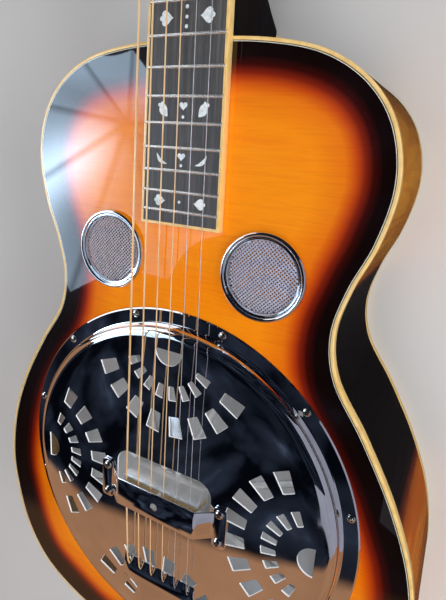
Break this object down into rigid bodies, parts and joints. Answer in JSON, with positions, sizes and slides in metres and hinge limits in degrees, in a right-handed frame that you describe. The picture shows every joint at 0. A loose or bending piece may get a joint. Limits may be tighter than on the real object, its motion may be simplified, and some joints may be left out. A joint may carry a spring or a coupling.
{
  "type": "resonator guitar",
  "caption": "Square-neck resonator guitar with a sunburst body, chrome coverplate with fan holes, screened sound holes, raised nut and slotted headstock with geared tuners.",
  "frame": {"origin": "on the flat back, straight under the saddle", "axes": "+Y towards the headstock, +X to the treble side, +Z out of the soundboard"},
  "size_m": [0.364, 1.0094, 0.122],
  "materials": {
    "sunburst_top": "gloss",
    "lacquered_maple": "gloss",
    "neck_lacquer": "gloss",
    "black_lacquer": "gloss",
    "inner_wood": "matte",
    "cream_binding": "gloss",
    "purfling": "gloss",
    "fretboard_wood": "satin",
    "pearl_inlay": "gloss",
    "fret_wire": "polished",
    "saddle_maple": "satin",
    "bone": "satin",
    "mirror_chrome": "polished",
    "nickel": "polished",
    "steel_hardware": "satin",
    "spun_aluminium": "satin",
    "cast_aluminium": "satin",
    "screen_wire": "satin",
    "bronze_wire": "polished",
    "plain_steel_wire": "polished",
    "brass_gear": "satin",
    "button_plastic": "gloss"
  },
  "bodies": {
    "guitar": {"soundboard": "sunburst_top", "back_panel": "lacquered_maple", "side_rim": "lacquered_maple", "top_binding": "cream_binding", "back_binding": "cream_binding", "top_lining": "inner_wood", "back_lining": "inner_wood", "neck_block": "inner_wood", "tail_block": "inner_wood", "sound_well": "inner_wood", "resonator_cone": "spun_aluminium", "spider_bridge": "cast_aluminium", "saddle_bass": "saddle_maple", "saddle_treble": "saddle_maple", "tension_screw": "nickel", "coverplate": "mirror_chrome", "palm_rest": "mirror_chrome", "palm_rest_screw_1": "nickel", "palm_rest_screw_2": "nickel", "palm_rest_screw_3": "nickel", "palm_rest_screw_4": "nickel", "tailpiece": "mirror_chrome", "strap_button": "mirror_chrome", "screen_ring_bass": "mirror_chrome", "screen_ring_treble": "mirror_chrome", "screen_mesh_bass": "screen_wire", "screen_mesh_treble": "screen_wire", "tuner_plate_bass": "nickel", "tuner_plate_treble": "nickel", "neck": "neck_lacquer", "fretboard": "fretboard_wood", "fretboard_binding": "cream_binding", "nut": "bone", "heel_cap": "cream_binding", "neck_bolt": "steel_hardware", "headplate": "black_lacquer", "string_1": "bronze_wire", "string_2": "bronze_wire", "string_3": "bronze_wire", "string_4": "bronze_wire", "string_5": "plain_steel_wire", "string_6": "plain_steel_wire"},
    "tuner_1": {"tuner_shaft_1": "nickel", "tuner_button_1": "button_plastic"},
    "roller_1": {"string_roller_1": "brass_gear"},
    "tuner_2": {"tuner_shaft_2": "nickel", "tuner_button_2": "button_plastic"},
    "roller_2": {"string_roller_2": "brass_gear"},
    "tuner_3": {"tuner_shaft_3": "nickel", "tuner_button_3": "button_plastic"},
    "roller_3": {"string_roller_3": "brass_gear"},
    "tuner_4": {"tuner_shaft_4": "nickel", "tuner_button_4": "button_plastic"},
    "roller_4": {"string_roller_4": "brass_gear"},
    "tuner_5": {"tuner_shaft_5": "nickel", "tuner_button_5": "button_plastic"},
    "roller_5": {"string_roller_5": "brass_gear"},
    "tuner_6": {"tuner_shaft_6": "nickel", "tuner_button_6": "button_plastic"},
    "roller_6": {"string_roller_6": "brass_gear"}
  },
  "joints": [
    {"name": "tuner_1_turn", "type": "hinge", "parent": "guitar", "child": "tuner_1", "pos_m": [-0.0396, 0.69062, 0.07731], "axis": [0, 0.225, 0.9744], "continuous": true},
    {"name": "roller_1_turn", "type": "hinge", "parent": "guitar", "child": "roller_1", "pos_m": [-0.024, 0.68185, 0.07933], "axis": [1, 0, 0], "continuous": true},
    {"name": "tuner_2_turn", "type": "hinge", "parent": "guitar", "child": "tuner_2", "pos_m": [-0.0396, 0.72959, 0.06831], "axis": [0, 0.225, 0.9744], "continuous": true},
    {"name": "roller_2_turn", "type": "hinge", "parent": "guitar", "child": "roller_2", "pos_m": [-0.024, 0.72082, 0.07033], "axis": [1, 0, 0], "continuous": true},
    {"name": "tuner_3_turn", "type": "hinge", "parent": "guitar", "child": "tuner_3", "pos_m": [-0.0396, 0.76857, 0.05931], "axis": [0, 0.225, 0.9744], "continuous": true},
    {"name": "roller_3_turn", "type": "hinge", "parent": "guitar", "child": "roller_3", "pos_m": [-0.024, 0.7598, 0.06134], "axis": [1, 0, 0], "continuous": true},
    {"name": "tuner_4_turn", "type": "hinge", "parent": "guitar", "child": "tuner_4", "pos_m": [0.0396, 0.76857, 0.05931], "axis": [0, 0.225, 0.9744], "continuous": true},
    {"name": "roller_4_turn", "type": "hinge", "parent": "guitar", "child": "roller_4", "pos_m": [0.024, 0.7598, 0.06134], "axis": [1, 0, 0], "continuous": true},
    {"name": "tuner_5_turn", "type": "hinge", "parent": "guitar", "child": "tuner_5", "pos_m": [0.0396, 0.72959, 0.06831], "axis": [0, 0.225, 0.9744], "continuous": true},
    {"name": "roller_5_turn", "type": "hinge", "parent": "guitar", "child": "roller_5", "pos_m": [0.024, 0.72082, 0.07033], "axis": [1, 0, 0], "continuous": true},
    {"name": "tuner_6_turn", "type": "hinge", "parent": "guitar", "child": "tuner_6", "pos_m": [0.0396, 0.69062, 0.07731], "axis": [0, 0.225, 0.9744], "continuous": true},
    {"name": "roller_6_turn", "type": "hinge", "parent": "guitar", "child": "roller_6", "pos_m": [0.024, 0.68185, 0.07933], "axis": [1, 0, 0], "continuous": true}
  ],
  "couplings": [
    {"joint": "roller_1_turn", "follows": "tuner_1_turn", "ratio": -0.071429},
    {"joint": "roller_2_turn", "follows": "tuner_2_turn", "ratio": -0.071429},
    {"joint": "roller_3_turn", "follows": "tuner_3_turn", "ratio": -0.071429},
    {"joint": "roller_4_turn", "follows": "tuner_4_turn", "ratio": -0.071429},
    {"joint": "roller_5_turn", "follows": "tuner_5_turn", "ratio": -0.071429},
    {"joint": "roller_6_turn", "follows": "tuner_6_turn", "ratio": -0.071429}
  ]
}
